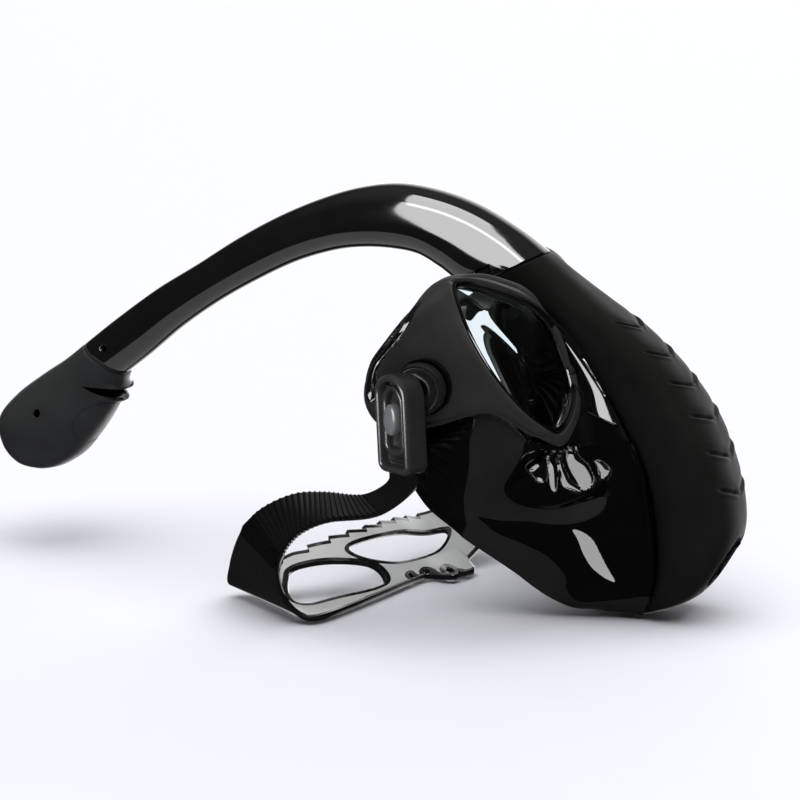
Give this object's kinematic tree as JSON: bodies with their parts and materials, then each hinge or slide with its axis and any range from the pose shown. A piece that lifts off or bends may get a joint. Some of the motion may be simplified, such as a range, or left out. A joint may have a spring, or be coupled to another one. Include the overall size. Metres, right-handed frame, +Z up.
{
  "type": "full face snorkel mask",
  "caption": "Full face diving mask with twin lenses, a central air duct, a curved snorkel tube over the head with a dry top, a soft face seal and a buckled head strap.",
  "frame": {"origin": "centre of the ground footprint, on the ground", "axes": "+X the way the mask looks, +Y the wearer's left, +Z up; the mask leans back 27 degrees"},
  "size_m": [0.4172, 0.2154, 0.2077],
  "materials": {
    "matte_shell": "fine matte grain",
    "matte_frame": "fine satin grain",
    "gloss_shell": "high gloss",
    "soft_black": "glossy silicone",
    "soft_grey": "satin silicone",
    "soft_clear": "milky silicone",
    "lens_clear": "polished",
    "buckle_plastic": "semi gloss",
    "button_plastic": "gloss",
    "inner_plastic": "moulded",
    "float_foam": "moulded",
    "dry_top_shell": "satin",
    "screw_steel": "brushed"
  },
  "bodies": {
    "mask": {"front_housing": "matte_shell", "duct_socket_seal": "soft_grey", "gill_lips": "matte_shell", "purge_cover": "matte_shell", "purge_seat": "inner_plastic", "frame_right": "matte_frame", "frame_left": "matte_frame", "lens_right": "lens_clear", "lens_left": "lens_clear", "lens_rim_right": "gloss_shell", "lens_rim_left": "gloss_shell", "lens_gasket_right": "soft_grey", "lens_gasket_left": "soft_grey", "cheek_panel_right": "matte_shell", "cheek_panel_left": "matte_shell", "nose_panel_right": "gloss_shell", "nose_panel_left": "gloss_shell", "bridge_trim_right": "gloss_shell", "bridge_trim_left": "gloss_shell", "face_skirt": "soft_black", "inner_cup": "soft_grey", "inhale_seat_right": "inner_plastic", "inhale_seat_left": "inner_plastic", "exhale_seat": "inner_plastic", "cover_screws": "screw_steel", "post_right": "gloss_shell", "post_left": "gloss_shell", "post_clip_right": "inner_plastic", "post_clip_left": "inner_plastic"},
    "snorkel": {"snorkel_tube": "gloss_shell", "tube_spigot": "inner_plastic", "tube_divider": "inner_plastic", "spigot_seal": "soft_clear", "dry_top_body": "dry_top_shell", "dry_top_cap": "dry_top_shell", "float_guide": "inner_plastic"},
    "latch_right": {"latch_tab_right": "gloss_shell"},
    "latch_left": {"latch_tab_left": "gloss_shell"},
    "float": {"float_body": "float_foam", "float_seal": "soft_clear"},
    "purge_flap": {"purge_membrane": "soft_clear"},
    "inhale_flap_right": {"inhale_valve_right": "soft_clear"},
    "inhale_flap_left": {"inhale_valve_left": "soft_clear"},
    "exhale_flap": {"exhale_valve": "soft_clear"},
    "harness": {"buckle_right": "buckle_plastic", "buckle_left": "buckle_plastic", "roller_pins": "screw_steel", "head_strap": "soft_black"},
    "button_right": {"buckle_button_right": "button_plastic"},
    "button_left": {"buckle_button_left": "button_plastic"},
    "roller_right": {"buckle_roller_right": "inner_plastic"},
    "roller_left": {"buckle_roller_left": "inner_plastic"}
  },
  "joints": [
    {"name": "tube_pull", "type": "slide", "parent": "mask", "child": "snorkel", "axis": [-0.8829, 0, 0.4696], "range_m": [0, 0.03]},
    {"name": "latch_press_right", "type": "slide", "parent": "snorkel", "child": "latch_right", "axis": [0, 1, 0], "range_m": [0, 0.0012], "stiffness_N_per_m": 400},
    {"name": "latch_press_left", "type": "slide", "parent": "snorkel", "child": "latch_left", "axis": [0, -1, 0], "range_m": [0, 0.0012], "stiffness_N_per_m": 400},
    {"name": "float_slide", "type": "slide", "parent": "snorkel", "child": "float", "axis": [-0.6157, 0, -0.788], "range_m": [-0.0125, 0]},
    {"name": "purge_lift", "type": "slide", "parent": "mask", "child": "purge_flap", "axis": [0.8572, 0, -0.515], "range_m": [0, 0.0018], "stiffness_N_per_m": 60},
    {"name": "inhale_lift_right", "type": "slide", "parent": "mask", "child": "inhale_flap_right", "axis": [-0.0687, -0.6157, 0.785], "range_m": [0, 0.0015], "stiffness_N_per_m": 40},
    {"name": "inhale_lift_left", "type": "slide", "parent": "mask", "child": "inhale_flap_left", "axis": [-0.0687, 0.6157, 0.785], "range_m": [0, 0.0015], "stiffness_N_per_m": 40},
    {"name": "exhale_lift", "type": "slide", "parent": "mask", "child": "exhale_flap", "axis": [-0.454, 0, 0.891], "range_m": [0, 0.0015], "stiffness_N_per_m": 60},
    {"name": "strap_swing", "type": "hinge", "parent": "mask", "child": "harness", "pos_m": [0.07557, 0, 0.12275], "axis": [0, 1, 0], "range_deg": [0, 45]},
    {"name": "button_press_right", "type": "slide", "parent": "harness", "child": "button_right", "axis": [0.4067, 0.9135, 0], "range_m": [0, 0.001], "stiffness_N_per_m": 500},
    {"name": "button_press_left", "type": "slide", "parent": "harness", "child": "button_left", "axis": [0.4067, -0.9135, 0], "range_m": [0, 0.001], "stiffness_N_per_m": 500},
    {"name": "roller_spin_right", "type": "hinge", "parent": "harness", "child": "roller_right", "pos_m": [0.07008, -0.09626, 0.08975], "axis": [0.9135, -0.4067, 0], "continuous": true},
    {"name": "roller_spin_left", "type": "hinge", "parent": "harness", "child": "roller_left", "pos_m": [0.07008, 0.09626, 0.08975], "axis": [0.9135, 0.4067, 0], "continuous": true}
  ]
}
